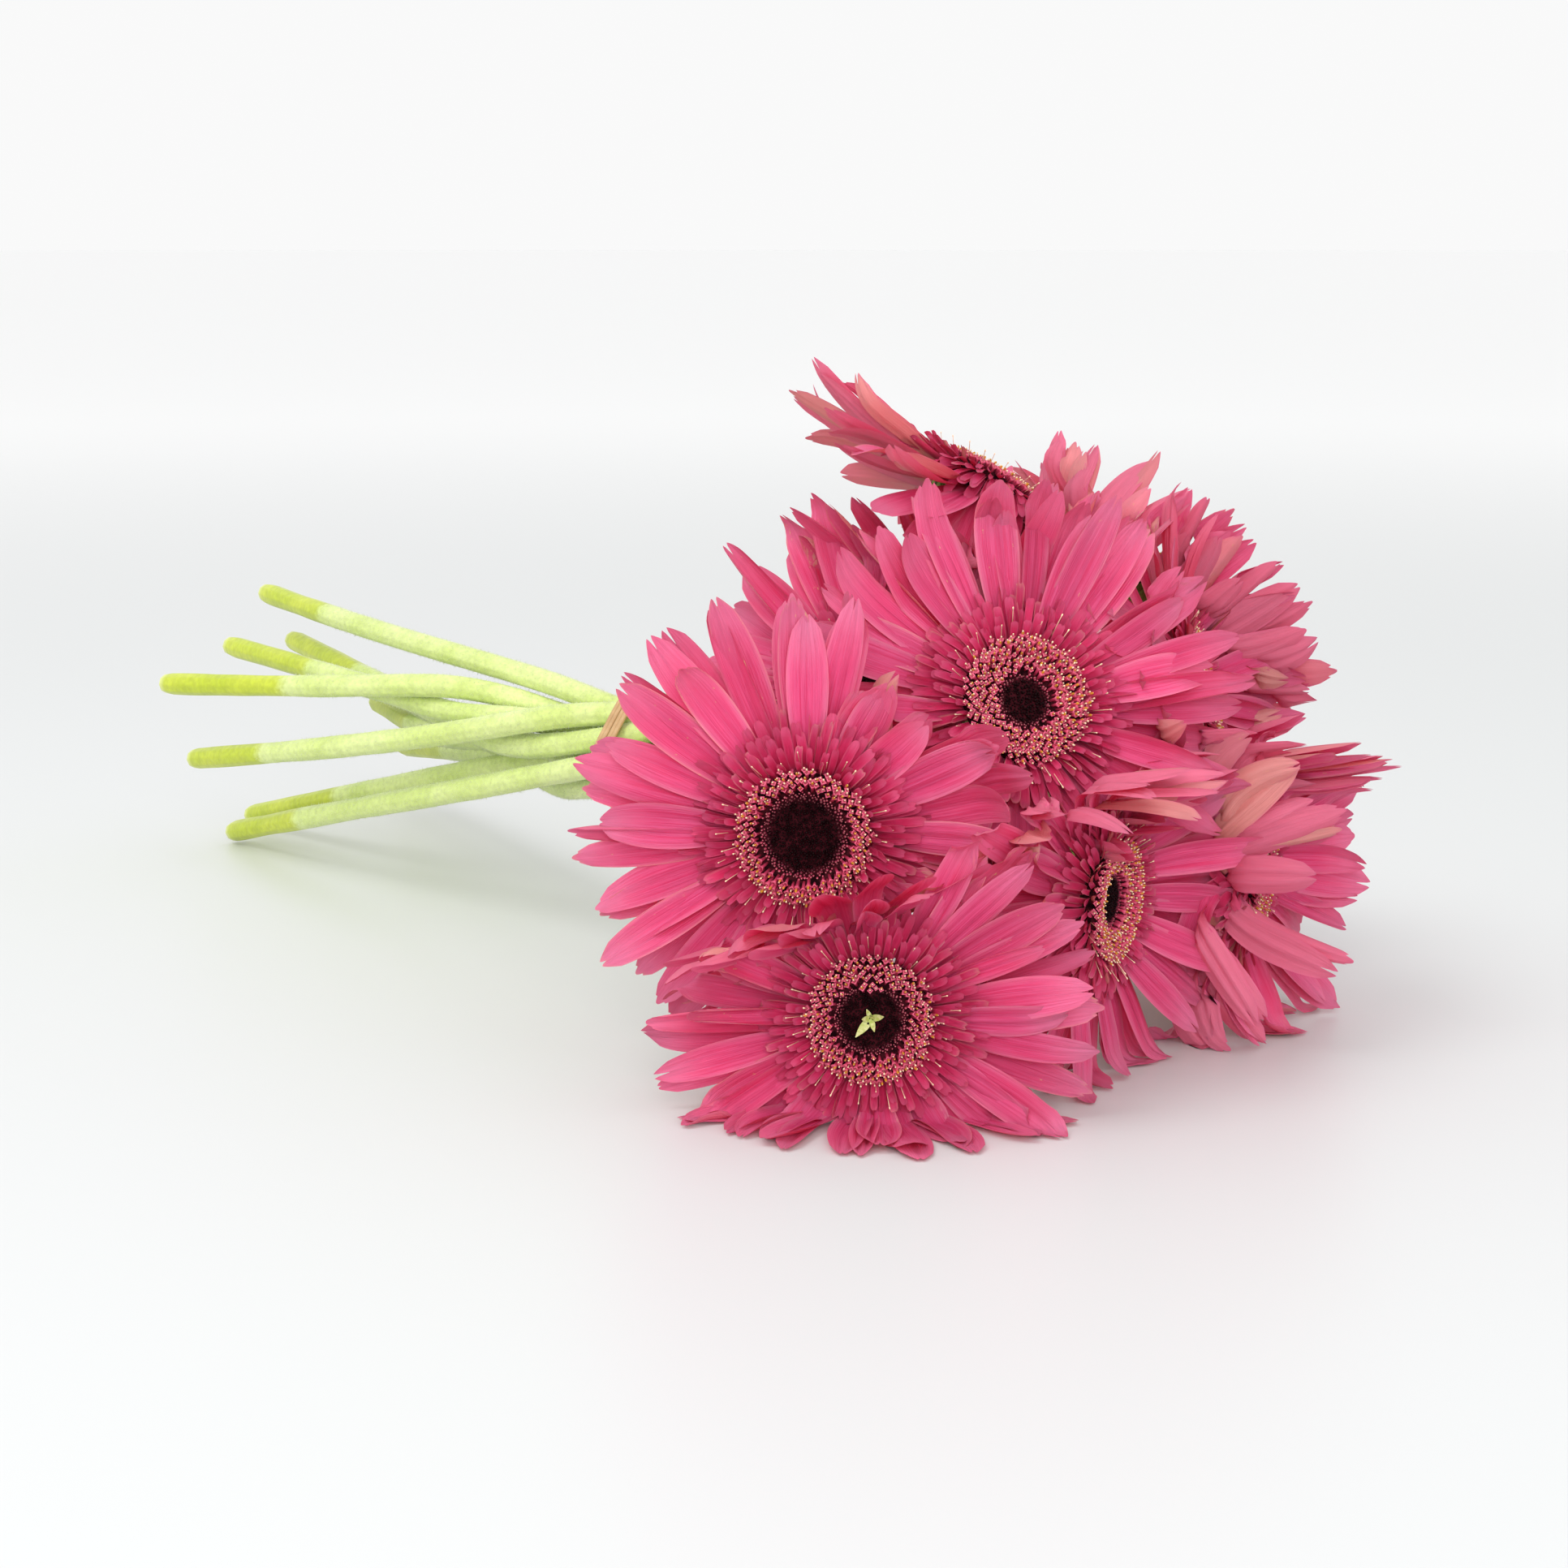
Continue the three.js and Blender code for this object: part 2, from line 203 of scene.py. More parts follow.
def grow(head, start, ahead, across, width, length, curl, twist, past, bend, steps):
    """Walks each petal's middle line outwards. past is how far it may go beyond a parting face.
    Returns the places, the directions ahead and the directions across, by step."""
    normals, offsets = head["walls"]
    step = (length / steps)[:, None]
    places, aheads, acrosses = [], [], []
    p, d, w = start.copy(), ahead.copy(), across.copy()
    for k in range(steps + 1):
        for wall, (normal, offset) in enumerate(zip(normals, offsets)):
            room = offset - p @ normal + (past if wall else -0.8 * MM)
            share = np.clip(room / bend, -0.5, 1)
            most = np.where(share > 0, np.sqrt(1 - (1 - np.maximum(share, 0)) ** 2), share)
            toward = d @ normal
            forward = head["face"] - (head["face"] @ normal) * normal
            slide = unit(d - toward[:, None] * normal + 0.12 * forward)
            bent = most[:, None] * normal + np.sqrt(1 - most**2)[:, None] * slide
            d = np.where((toward > most)[:, None], bent, d)
            w = w - np.sum(w * d, 1)[:, None] * d
            lean = w @ normal
            least = np.maximum(room, 0.0) / (0.5 * width)
            w = w - (lean - np.clip(lean, -least, least))[:, None] * normal
            w = unit(w - np.sum(w * d, 1)[:, None] * d)
        places.append(p)
        aheads.append(d)
        acrosses.append(w)
        p = p + d * step
        d = unit(turned(d, w, -curl[:, min(k, steps - 1)] / steps))
        w = unit(turned(w, d, twist / steps))
    return np.stack(places, 1), np.stack(aheads, 1), np.stack(acrosses, 1)


# %% Skin the grown lines with thin closed petals
LOWEST = 0.15 * MM  # nothing sinks into the table


def strap_mesh(name, lines, width, form, thick, rows, tone):
    """One mesh of closed petals. form holds v, the columns from -1 to 1; outline(s), the share of
    the width at s along; and by petal: ends, how far each column reaches; arch, the angle that a
    half width bends through; and sink, the groove's depth. tone is (petals, 2), for the finish."""
    places, aheads, acrosses = lines
    count, stations = places.shape[:2]
    v = form["v"]
    wide = len(v)
    u = 1 - (1 - np.linspace(0, 1, rows)) ** 1.15
    s = u[None, :, None] * form["ends"][:, None, :]
    index = np.clip(s * (stations - 1), 0, stations - 1.001)
    low = index.astype(int)
    part = (index - low)[..., None]
    petal = np.arange(count)[:, None, None]

    def along(values):
        return values[petal, low] * (1 - part) + values[petal, low + 1] * part

    ahead = unit(along(aheads))
    side = unit(along(acrosses))
    up = np.cross(ahead, side)
    half = 0.5 * width[:, None, None] * form["outline"](s)
    roll = form["arch"][:, None, None] * np.sin(np.pi * (0.1 + 0.55 * s))
    roll = np.where(np.abs(roll) < 0.02, 0.02, roll)
    sideways = half / roll * np.sin(roll * v)
    lift = half / roll * (1 - np.cos(roll * v)) - form["sink"][:, None, :] * np.sin(np.pi * s) ** 0.7
    middle = along(places) + side * sideways[..., None] + up * lift[..., None]
    plump = (1 - np.abs(v) ** 2.5) * np.sin(np.pi * np.clip(u * 0.93 + 0.07, 0, 1))[:, None] ** 0.5
    plump[[0, -1]] = 0
    offset = up * (0.5 * thick * plump)[None, :, :, None]
    inner = np.zeros((rows, wide), bool)
    inner[1:-1, 1:-1] = True
    keep = inner.ravel()
    top = (middle + offset).reshape(count, -1, 3)
    under = (middle - offset).reshape(count, -1, 3)[:, keep]
    grid = np.arange(rows * wide).reshape(rows, wide)
    below = grid.copy()
    below[inner] = rows * wide + np.arange(keep.sum())

    def quads(g):
        return np.stack([g[:-1, :-1], g[1:, :-1], g[1:, 1:], g[:-1, 1:]], -1).reshape(-1, 4)

    faces = np.concatenate([quads(grid), quads(below)[:, ::-1]])
    each = rows * wide + keep.sum()
    points = np.concatenate([top, under], 1).reshape(-1, 3)
    points[:, 2] = np.maximum(points[:, 2], LOWEST)
    faces = (faces[None] + each * np.arange(count)[:, None, None]).reshape(-1, 4)
    mesh = bpy.data.meshes.new(name)
    mesh.from_pydata(points.tolist(), [], faces.tolist())
    flat_v = np.broadcast_to(0.5 + 0.5 * v, (count, rows, wide)).reshape(count, -1)
    uv = np.stack([s.reshape(count, -1), flat_v], -1)
    uv = np.concatenate([uv, uv[:, keep]], 1).reshape(-1, 2)
    layer = mesh.uv_layers.new(name="petal")
    layer.data.foreach_set("uv", uv[faces.ravel()].astype(np.float32).ravel())
    colour = np.ones((count, each, 4), np.float32)
    colour[:, :, 0] = tone[:, 0, None]
    colour[:, :, 1] = np.concatenate([np.where(keep, 0.0, 0.5), np.ones(keep.sum())])
    colour[:, :, 2] = tone[:, 1, None]
    attribute = mesh.color_attributes.new("petal_tone", "FLOAT_COLOR", "POINT")
    attribute.data.foreach_set("color", colour.ravel())
    mesh.shade_smooth()
    on_rim = np.tile(np.concatenate([~keep, np.zeros(keep.sum(), bool)]), count)
    ends_of = np.empty(2 * len(mesh.edges), np.int32)
    mesh.edges.foreach_get("vertices", ends_of)
    mesh.edges.foreach_set("use_edge_sharp", on_rim[ends_of].reshape(-1, 2).all(1))
    return mesh


def add_piece(mesh, material, slot, *nodes):
    """Puts a finished mesh in the scene, in the place of the named solids, if any."""
    piece = bpy.data.objects.new(mesh.name, mesh)
    bpy.context.scene.collection.objects.link(piece)
    if material:
        mesh.materials.clear()
        mesh.materials.append(material)
    if nodes:
        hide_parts(*nodes)
    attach(piece, "root")
    return piece


# %% [markdown]
# ## A short way to write node trees
# Both materials and Geometry Nodes are trees of nodes whose sockets are joined. This small class
# makes a node, sets or joins its inputs, and hands back an output, so that a tree reads like a
# row of plain sums.


# %% Nodes made in one line each
class Nodes:
    def __init__(self, tree):
        self.tree = tree

    def put(self, socket, value):
        if isinstance(value, bpy.types.NodeSocket):
            self.tree.links.new(value, socket)
        elif value is not None:
            socket.default_value = value

    def add(self, kind, inputs=(), **settings):
        """A new node, its settings, and its inputs by name or by number."""
        node = self.tree.nodes.new(kind)
        for key, value in settings.items():
            setattr(node, key, value)
        for key, value in dict(inputs).items():
            self.put(node.inputs[key], value)
        return node

    def math(self, operation, *values):
        return self.add("ShaderNodeMath", dict(enumerate(values)), operation=operation).outputs[0]

    def times(self, a, b):
        return self.math("MULTIPLY", a, b)

    def ramp(self, value, low, high, new_low=0.0, new_high=1.0):
        """value from low to high, smoothly made into new_low to new_high."""
        inputs = dict(enumerate((value, low, high, new_low, new_high)))
        return self.add("ShaderNodeMapRange", inputs, interpolation_type="SMOOTHSTEP").outputs[0]

    def mix(self, share, a, b, blend="MIX"):
        inputs = {0: share}
        for key, colour in ((6, a), (7, b)):
            inputs[key] = colour if isinstance(colour, bpy.types.NodeSocket) else (*colour, 1)
        return self.add("ShaderNodeMix", inputs, data_type="RGBA", blend_type=blend).outputs[2]

    def dim(self, colour, by):
        grey = self.add("ShaderNodeCombineColor", {0: by, 1: by, 2: by}).outputs[0]
        return self.mix(1.0, colour, grey, "MULTIPLY")

    def noise(self, vector, scale, detail=3.0, roughness=0.55):
        inputs = {"Vector": vector, "Scale": scale, "Detail": detail, "Roughness": roughness}
        return self.add("ShaderNodeTexNoise", inputs).outputs[0]

    def vector(self, x=0.0, y=0.0, z=0.0):
        return self.add("ShaderNodeCombineXYZ", {0: x, 1: y, 2: z}).outputs[0]

    def sum(self, a, b):
        return self.add("ShaderNodeVectorMath", {0: a, 1: b}, operation="ADD").outputs[0]


class Finish(Nodes):
    """A material's tree, with the Principled shader that each one starts from."""

    def __init__(self, name, roughness, **others):
        self.material = bpy.data.materials.new(name)
        self.material.use_nodes = True
        super().__init__(self.material.node_tree)
        self.surface = self.tree.nodes["Principled BSDF"]
        self.surface.inputs["Roughness"].default_value = roughness
        for key, value in others.items():
            self.surface.inputs[key.replace("_", " ")].default_value = value

    def place(self):
        return self.add("ShaderNodeTexCoord").outputs["Object"]

    def attribute(self, name, output="Fac"):
        return self.add("ShaderNodeAttribute", attribute_name=name).outputs[output]

    def colour(self, colour):
        self.put(self.surface.inputs["Base Color"], colour)

    def bump(self, height, distance, strength=1.0):
        inputs = {"Strength": strength, "Distance": distance, "Height": height}
        self.put(self.surface.inputs["Normal"], self.add("ShaderNodeBump", inputs).outputs[0])

    def glow(self, colour, share):
        """Lets some of the light that falls on the far side come through."""
        through = self.add("ShaderNodeBsdfTranslucent", {"Color": (*colour, 1)}).outputs[0]
        blend = self.add("ShaderNodeMixShader", {0: share, 1: self.surface.outputs[0], 2: through})
        self.put(self.tree.nodes["Material Output"].inputs["Surface"], blend.outputs[0])


# %% [markdown]
# ## The table and the light
# The table is a broad nearly white disc, whose far end melts into the white air. Near the flowers
# its colour is painted greyer, a painted shade that tones down the stronger light there, so that
# the white stays white without burning out. Light comes from all round, with two broad soft
# sources, so shadows are faint and the pink stays pure.

# %% The table
TABLE_RADIUS = 30.0
n = Finish("white table", 0.4, Specular_IOR_Level=0.3)
from_middle = n.add("ShaderNodeVectorMath", {0: n.place()}, operation="LENGTH").outputs["Value"]
# Painted shade: the table's colour is greyer near the flowers and white further out, to tone down the
# stronger light near the bunch.
n.colour(n.mix(n.ramp(from_middle, 0.5, 2.6), (0.692, 0.706, 0.706), (0.975, 0.978, 0.978)))
table_mesh = bpy.data.meshes.new("table")
drawn = bmesh.new()
bmesh.ops.create_circle(drawn, cap_ends=True, segments=96, radius=TABLE_RADIUS)
drawn.to_mesh(table_mesh)
drawn.free()
table_mesh.materials.append(n.material)
table = bpy.data.objects.new("table", table_mesh)
bpy.context.scene.collection.objects.link(table)
print("table", 2 * TABLE_RADIUS, "m across")


# %% The air and the lights
def soft_light(name, place, size, power):
    light = bpy.data.objects.new(name, bpy.data.lights.new(name, "AREA"))
    light.data.shape = "DISK"
    light.data.size = size
    light.data.energy = power
    light.location = place
    light.rotation_euler = (-Vector(place)).to_track_quat("-Z", "Y").to_euler()
    bpy.context.scene.collection.objects.link(light)


world = bpy.data.worlds.new("white air")
world.use_nodes = True
world.node_tree.nodes["Background"].inputs["Color"].default_value = (1, 1, 1, 1)
world.node_tree.nodes["Background"].inputs["Strength"].default_value = 0.95
bpy.context.scene.world = world
bpy.context.scene.view_settings.view_transform = "Standard"
soft_light("broad light above", (-0.1, -1.0, 1.7), 1.2, 11)
soft_light("light beside the camera", (1.6, -1.3, 0.75), 1.0, 19)
print("white air and two soft lights")

# %% [markdown]
# ## The finish of a petal
# A petal is a thin, slightly see-through sheet. Light that falls on its back glows through it,
# redder than the light that its face sends back, so the shader mixes a translucent part into the
# plain one. Fine veins run along it. Its edges and tip are paler and cooler, its underside is
# paler too, peach on some petals, and a few petals carry small cream scars.


# %% The petal finishes
PEACH_BACK = (0.95, 0.52, 0.43)
CREAM_SCAR = (0.88, 0.58, 0.34)


def petal_material(name, face, vein, foot, edge, under, glow, share, scars):
    n = Finish(name, 0.42, Specular_IOR_Level=0.3)
    uv = n.add("ShaderNodeUVMap", uv_map="petal").outputs[0]
    tone = n.add("ShaderNodeVertexColor", layer_name="petal_tone").outputs[0]
    own, is_under, age = n.add("ShaderNodeSeparateColor", {0: tone}).outputs[:3]
    along, across = n.add("ShaderNodeSeparateXYZ", {0: uv}).outputs[:2]
    off_middle = n.math("ABSOLUTE", n.math("SUBTRACT", across, 0.5))
    flat = n.vector(along, across, n.times(own, 37.0))
    fibres = n.add("ShaderNodeMapping", {"Vector": flat, "Scale": (1.6, 42.0, 1.0)}).outputs[0]
    veins = n.noise(fibres, 1.0, 3.0, 0.6)
    blotch = n.noise(n.place(), 90.0)
    colour = n.mix(n.ramp(veins, 0.40, 0.64), face, vein)
    colour = n.mix(n.ramp(along, 0.0, 0.5, 0.8, 0.0), colour, foot)
    rim = n.ramp(off_middle, 0.28, 0.52, 0.0, 0.55)
    tip = n.ramp(along, 0.55, 1.02, 0.0, 0.75)
    paler = n.times(n.math("MAXIMUM", rim, tip), n.ramp(blotch, 0.3, 0.7, 0.65, 1.0))
    colour = n.mix(paler, colour, edge)
    back = n.mix(n.ramp(age, 0.7, 0.95), under, PEACH_BACK)
    colour = n.mix(n.times(is_under, 0.8), colour, back)
    colour = n.dim(colour, n.ramp(own, 0.0, 1.0, 0.9, 1.06))
    if scars:
        stretched = n.add("ShaderNodeMapping", {"Vector": flat, "Scale": (9.0, 5.0, 3.0)}).outputs[0]
        spots = n.ramp(n.noise(stretched, 1.7, 4.0, 0.65), 0.66, 0.72)
        colour = n.mix(n.times(spots, n.ramp(age, 0.7, 0.8)), colour, CREAM_SCAR)
    n.colour(colour)
    n.bump(n.math("ADD", veins, n.times(blotch, 0.3)), 0.4 * MM, 0.9)
    n.glow(glow, share)
    return n.material


long_petal = petal_material(
    "long petal", face=(0.93, 0.14, 0.36), vein=(0.83, 0.06, 0.215), foot=(0.88, 0.045, 0.19),
    edge=(0.95, 0.36, 0.59), under=(0.93, 0.27, 0.41), glow=(1.0, 0.14, 0.34), share=0.40, scars=True,
)
short_petal = petal_material(
    "short inner petal", face=(0.94, 0.055, 0.21), vein=(0.85, 0.03, 0.15), foot=(0.80, 0.015, 0.10),
    edge=(0.95, 0.19, 0.40), under=(0.90, 0.12, 0.27), glow=(1.0, 0.04, 0.18), share=0.34, scars=False,
)
print("two petal finishes")

# %% [markdown]
# ## The long petals
# They stand in three rows. The back row is the longest and lies flattest. Each row in front of it
# is a little shorter and rises a little more. Most tips have one cleft, some have two, and a
# petal that is pressed aside also rolls up across its width. Every head has its own seed, so that
# no two are alike and each run gives the same bunch.

# %% Lay the long petals
LONG_REACH = 60 * MM
LONG_WIDTH = 10.8 * MM
LONG_THICK = 0.34 * MM
LONG_BEND = 9 * MM  # a petal bends no tighter
FOOT_RADIUS = 12.5 * MM
LONG_STEPS = 26
LONG_ROWS = [  # petals, how far the foot stands in front of the seat, its rise in degrees, its reach
    (23, 0.6 * MM, -4, 1.0),
    (21, 1.4 * MM, 2, 0.97),
    (12, 2.2 * MM, 7, 0.86),
]
LONG_COLUMNS = np.array([-1, -0.86, -0.66, -0.46, -0.3, -0.15, 0, 0.15, 0.3, 0.46, 0.66, 0.86, 1])
PARTED_GAP = math.radians(18)  # how far a stem pushes the nearest petals aside
PARTED_REACH = math.radians(36)  # and how far off it still moves them
CUP_SHARES = 0.35, 0.9  # how much of its cup a head closes all round, and on one side
TUCKED_SHARE = 0.62  # of a petal's length
FOLD_CURL = 3.7


def long_outline(s):
    """A strap's width: narrow foot, widest past the middle, tapering tip."""
    swell = np.clip(s / 0.6, 0, 1)
    taper = np.clip((s - 0.6) / 0.4, 0, 1)
    return (0.28 + 0.72 * np.sin(0.5 * np.pi * swell)) * (1 - 0.58 * taper**2.1)


def ring_of_petals(head, rng, rows, radius, parted=None):
    """The feet, directions, sides and reaches of a head's petals, row by row. parted is where a
    stem pushes them apart, in degrees."""
    level, steep = square_to(head["face"])
    parts = []
    for row, (count, front, rise, reach) in enumerate(rows):
        place = np.arange(count) + 0.5 * (row % 2) + rng.uniform(-0.22, 0.22, count)
        tilt = np.radians(rise + rng.normal(0, 3.5, count))
        reaches = reach * rng.uniform(0.93, 1.0, count)
        parts.append((2 * np.pi / count * place, np.full(count, front), tilt, reaches))
    turn, front, rise, reach = np.concatenate(parts, 1)
    if parted is not None:
        off = (turn - math.radians(parted) + np.pi) % (2 * np.pi) - np.pi
        turn = turn + np.sign(off) * PARTED_GAP * np.maximum(1 - np.abs(off) / PARTED_REACH, 0)
    out = np.cos(turn)[:, None] * level + np.sin(turn)[:, None] * steep
    across = np.cross(head["face"], out)
    size = head["size"]
    start = head["centre"] + out * radius * size + head["face"] * ((front - SEAT_DEPTH) * size)[:, None]
    all_round, one_side = CUP_SHARES
    slope = rise + head["cup"] * (all_round + one_side * out @ level)
    slope -= head["droop"] * np.maximum(-out @ level, 0)
    ahead = np.cos(slope)[:, None] * out + np.sin(slope)[:, None] * head["face"]
    return start, ahead, across, reach


def lay_long_petals(i):
    head = heads[i]
    rng = np.random.default_rng(100 + i)
    start, ahead, across, reach = ring_of_petals(head, rng, LONG_ROWS, FOOT_RADIUS, PARTED.get(i))
    count = len(start)
    across = unit(turned(across, ahead, rng.normal(0.14, 0.12, count)))
    length = (LONG_REACH * reach - FOOT_RADIUS) * head["size"]
    width = LONG_WIDTH * head["size"] * rng.uniform(0.72, 1.06, count)
    sag = rng.normal(-0.05, 0.3, count)[:, None] * np.ones(LONG_STEPS)
    curl_at_tip = rng.normal(0.1, 0.6, count) - 1.9 * (rng.uniform(0, 1, count) < 0.08)
    curl_at_tip += 2.1 * (rng.uniform(0, 1, count) < 0.08)
    level, steep = square_to(head["face"])
    out = start - head["centre"]
    turn = np.degrees(np.arctan2(out @ steep, out @ level)) % 360
    low, high = TUCKED.get(i, (0, 0))
    length[(turn > low) & (turn < high)] *= TUCKED_SHARE
    front_row = count - LONG_ROWS[-1][0]
    offs = [np.abs((turn[front_row:] - at + 180) % 360 - 180) for at in FOLDS.get(i, ())]
    folded = [front_row + off.argmin() for off in offs]
    curl_at_tip[folded] = FOLD_CURL
    tip = curl_at_tip[:, None] * np.clip(np.linspace(-1.6, 1.6, LONG_STEPS), 0, 1)
    twist = rng.normal(0, 0.25, count)
    past = rng.uniform(-3, 6, count) * MM
    lines = grow(head, start, ahead, across, width, length, sag + tip, twist, past, LONG_BEND, LONG_STEPS)
    pressed = np.arccos(np.clip(np.sum(lines[1][:, 0] * lines[1][:, -6], 1), -1, 1))
    roll = rng.normal(0.1, 0.35, count) + rng.uniform(0, 0.9, count) * np.clip(pressed - 0.25, 0, 1)
    roll += 1.4 * (rng.uniform(0, 1, count) < 0.1)
    v = LONG_COLUMNS[None]
    cleft = rng.uniform(0.02, 0.12, count)[:, None] * np.exp(-((v / 0.13) ** 2))
    teeth = rng.uniform(0.01, 0.05, count)[:, None] * np.exp(-(((np.abs(v) - 0.42) / 0.1) ** 2))
    toothed = (rng.uniform(0, 1, count) < 0.35)[:, None]
    ends = 1 - 0.1 * np.abs(v) ** 2.4 - np.where(toothed, teeth, cleft)
    depth = rng.uniform(0.3, 1.1, count)[:, None] * MM
    two = (rng.uniform(0, 1, count) < 0.6)[:, None]
    sink = depth * np.where(two, np.exp(-(((np.abs(v) - 0.33) / 0.16) ** 2)), np.exp(-((v / 0.22) ** 2)))
    form = {"v": LONG_COLUMNS, "outline": long_outline, "ends": ends, "arch": roll, "sink": sink}
    tone = rng.uniform(0, 1, (count, 2))
    tone[folded, 1] = 1
    mesh = strap_mesh("long_petals_" + NUMBERS[i], lines, width, form, LONG_THICK, 20, tone)
    add_piece(mesh, long_petal, "ray_petal", "ray_florets_" + NUMBERS[i])
    return count


long_count = [lay_long_petals(i) for i in range(len(heads))]
print("long petals laid:", sum(long_count))

# %% [markdown]
# ## The short inner petals
# Inside the long petals stand tiers of short, narrow, darker ones, like small boats with blunt
# ends. The same two functions grow and skin them. The inner tiers are the shortest and stand
# the steepest.

# %% Lay the short petals
SHORT_STEPS = 8
SHORT_BEND = 3 * MM
SHORT_THICK = 0.45 * MM
SHORT_COLUMNS = np.array([-1, -0.6, 0, 0.6, 1])
SHORT_TIERS = [  # petals, foot radius, its front, its rise in degrees, its length and width
    (42, 16.0, 3.6, 5, 13.6, 2.9),
    (42, 15.8, 4.3, 12, 12.0, 2.7),
    (40, 15.6, 5.0, 20, 10.0, 2.5),
    (38, 15.2, 5.6, 33, 7.6, 2.2),
    (34, 14.8, 6.1, 48, 5.2, 1.9),
]


def short_outline(s):
    blunt = 1 - 0.14 * np.clip((s - 0.8) / 0.2, 0, 1) ** 2
    return (0.7 + 0.3 * np.sin(np.pi * np.clip(s * 0.7, 0, 1))) * blunt


def lay_short_petals(i):
    head = heads[i]
    size = head["size"]
    rng = np.random.default_rng(200 + i)
    parts = []
    for count, radius, front, rise, length, width in SHORT_TIERS:
        row = [(count, front * MM, rise - 0.5 * math.degrees(head["cup"]), 1.0)]
        start, ahead, across, reach = ring_of_petals(head, rng, row, radius * MM)
        long = length * MM * size * rng.uniform(0.8, 1.08, count)
        wide = width * MM * size * rng.uniform(0.8, 1.1, count)
        parts.append((start, ahead, across, long, wide))
    start, ahead, across, length, width = (np.concatenate(x) for x in zip(*parts))
    count = len(start)
    across = unit(turned(across, ahead, rng.normal(0, 0.3, count)))
    curl = rng.normal(-0.3, 0.35, count)[:, None] * np.ones(SHORT_STEPS)
    twist = rng.normal(0, 0.3, count)
    past = rng.uniform(-1.5, 1.0, count) * MM
    lines = grow(head, start, ahead, across, width, length, curl, twist, past, SHORT_BEND, SHORT_STEPS)
    v = SHORT_COLUMNS[None]
    ends = 1 - 0.1 * np.abs(v) ** 3 - rng.uniform(0, 0.1, count)[:, None] * np.exp(-((v / 0.3) ** 2))
    form = {"v": SHORT_COLUMNS, "outline": short_outline, "ends": ends}
    form["arch"] = rng.normal(0.8, 0.35, count)
    form["sink"] = np.zeros((count, len(SHORT_COLUMNS)))
    tone = rng.uniform(0, 1, (count, 2))
    mesh = strap_mesh("short_petals_" + NUMBERS[i], lines, width, form, SHORT_THICK, 8, tone)
    add_piece(mesh, short_petal, "inner_petal", "inner_florets_" + NUMBERS[i])
    return count


short_count = [lay_short_petals(i) for i in range(len(heads))]
print("short petals laid:", sum(short_count))

# %% [markdown]
# ## A Geometry Nodes tree and how to run it
# What repeats by a rule comes from Geometry Nodes. A tree is built once, with named inputs, and
# run with other values for each flower. The result is taken as a plain mesh, and the object that
# carried the modifier is thrown away.


